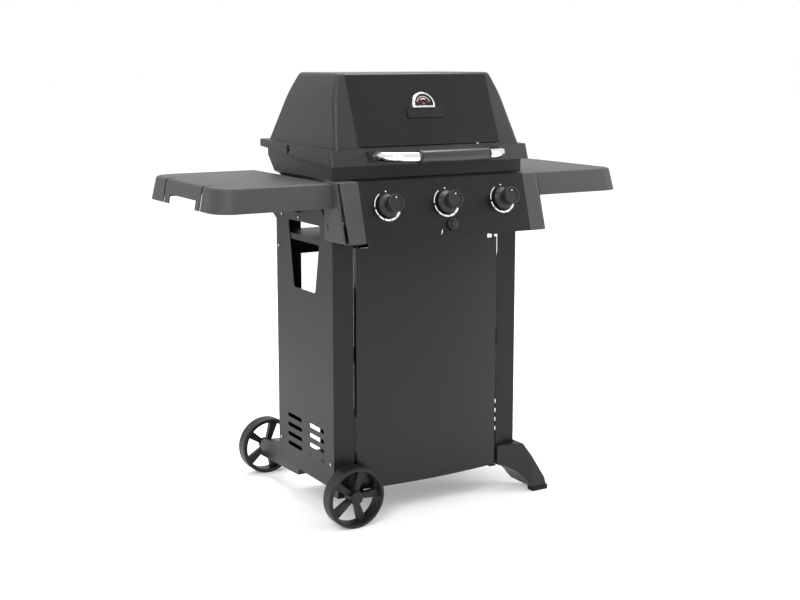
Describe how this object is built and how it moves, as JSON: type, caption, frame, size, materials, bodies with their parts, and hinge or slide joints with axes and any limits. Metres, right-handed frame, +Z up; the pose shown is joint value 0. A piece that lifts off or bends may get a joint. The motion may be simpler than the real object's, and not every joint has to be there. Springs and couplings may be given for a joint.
{
  "type": "gas barbecue grill",
  "caption": "Cart gas barbecue with a hinged cast lid, sloped control panel with push-and-turn knobs, fixed side shelves, open-backed cabinet with a lift-off front door, wheels and arched feet.",
  "frame": {"origin": "on the floor, under the middle of the barbecue's overall box", "axes": "+X to the right of a person facing the control panel, +Y to the back, +Z up"},
  "size_m": [1.1708, 0.6321, 1.11],
  "materials": {
    "powder_black": "satin powder coat",
    "enamel_black": "smooth satin enamel",
    "cast_grey": "fine-textured high-heat paint over a casting",
    "resin_grey": "lightly grained",
    "resin_dark": "lightly grained",
    "chrome": "polished",
    "grip_grey": "soft satin",
    "dial_face": "printed face under a clear window",
    "plated_steel": "zinc plated",
    "burner_steel": "heat-tinted stainless",
    "iron": "seasoned",
    "brass": "machined",
    "foot_rubber": "matte",
    "wheel_plastic": "grained"
  },
  "bodies": {
    "cart": {"side_panel_left": "powder_black", "side_panel_right": "powder_black", "bottom_shelf": "powder_black", "rear_rail": "powder_black", "front_rail": "powder_black", "door_brackets": "powder_black", "door_stops": "resin_dark", "firebox": "cast_grey", "lid_hinge_brackets": "plated_steel", "fascia": "enamel_black", "fascia_cap_right": "resin_grey", "fascia_cap_left": "resin_grey", "gas_valves": "brass", "gas_manifold": "plated_steel", "gas_inlet": "brass", "igniter_housing": "resin_dark", "flame_tamers": "burner_steel", "igniter_electrodes": "plated_steel", "cooking_grate_right": "iron", "cooking_grate_left": "iron", "warming_rack": "chrome", "tray_runners": "powder_black", "side_shelf_right": "resin_grey", "side_shelf_left": "resin_grey", "shelf_brackets": "powder_black", "axle": "plated_steel", "axle_carrier_front": "resin_dark", "axle_carrier_rear": "resin_dark", "foot_front": "resin_dark", "foot_rear": "resin_dark", "foot_pads": "foot_rubber", "cabinet_screws": "plated_steel", "burner_left": "burner_steel", "burner_middle": "burner_steel", "burner_right": "burner_steel"},
    "lid": {"lid_frame": "cast_grey", "lid_insert": "enamel_black", "handle_brackets": "resin_dark", "handle_ends": "chrome", "handle_grip": "grip_grey", "thermometer_plate": "chrome", "thermometer_bezel": "chrome", "thermometer_dial": "dial_face", "lid_hinge_pins": "plated_steel"},
    "door": {"door_panel": "enamel_black", "door_liner": "powder_black", "door_pins": "plated_steel"},
    "front_wheel": {"wheel_front": "wheel_plastic", "hub_cap_front": "wheel_plastic"},
    "rear_wheel": {"wheel_rear": "wheel_plastic", "hub_cap_rear": "wheel_plastic"},
    "igniter": {"igniter_button": "resin_dark"},
    "tray": {"grease_tray": "plated_steel"},
    "stem_left": {"valve_stem_left": "plated_steel"},
    "dial_left": {"knob_left": "resin_dark"},
    "stem_middle": {"valve_stem_middle": "plated_steel"},
    "dial_middle": {"knob_middle": "resin_dark"},
    "stem_right": {"valve_stem_right": "plated_steel"},
    "dial_right": {"knob_right": "resin_dark"}
  },
  "joints": [
    {"name": "lid_hinge", "type": "hinge", "parent": "cart", "child": "lid", "pos_m": [0, 0.177, 0.926], "axis": [-1, 0, 0], "range_deg": [0, 75]},
    {"name": "door_lift", "type": "slide", "parent": "cart", "child": "door", "axis": [0, 0, 1], "range_m": [0, 0.0065]},
    {"name": "front_wheel_spin", "type": "hinge", "parent": "cart", "child": "front_wheel", "pos_m": [-0.232, -0.213, 0.077], "axis": [0, 1, 0], "continuous": true},
    {"name": "rear_wheel_spin", "type": "hinge", "parent": "cart", "child": "rear_wheel", "pos_m": [-0.232, 0.296, 0.077], "axis": [0, 1, 0], "continuous": true},
    {"name": "tray_slide", "type": "slide", "parent": "cart", "child": "tray", "axis": [0, 1, 0], "range_m": [0, 0.25]},
    {"name": "igniter_push", "type": "slide", "parent": "cart", "child": "igniter", "axis": [0, 0.9578, -0.2873], "range_m": [0, 0.004], "stiffness_N_per_m": 500, "springref_m": -0.003},
    {"name": "knob_push_left", "type": "slide", "parent": "cart", "child": "stem_left", "axis": [0, 0.9578, -0.2873], "range_m": [0, 0.003], "stiffness_N_per_m": 600, "springref_m": -0.003},
    {"name": "knob_turn_left", "type": "hinge", "parent": "stem_left", "child": "dial_left", "pos_m": [-0.166, -0.2674, 0.798], "axis": [0, -0.9578, 0.2873], "range_deg": [0, 240]},
    {"name": "knob_push_middle", "type": "slide", "parent": "cart", "child": "stem_middle", "axis": [0, 0.9578, -0.2873], "range_m": [0, 0.003], "stiffness_N_per_m": 600, "springref_m": -0.003},
    {"name": "knob_turn_middle", "type": "hinge", "parent": "stem_middle", "child": "dial_middle", "pos_m": [0, -0.2674, 0.798], "axis": [0, -0.9578, 0.2873], "range_deg": [0, 240]},
    {"name": "knob_push_right", "type": "slide", "parent": "cart", "child": "stem_right", "axis": [0, 0.9578, -0.2873], "range_m": [0, 0.003], "stiffness_N_per_m": 600, "springref_m": -0.003},
    {"name": "knob_turn_right", "type": "hinge", "parent": "stem_right", "child": "dial_right", "pos_m": [0.166, -0.2674, 0.798], "axis": [0, -0.9578, 0.2873], "range_deg": [0, 240]}
  ]
}
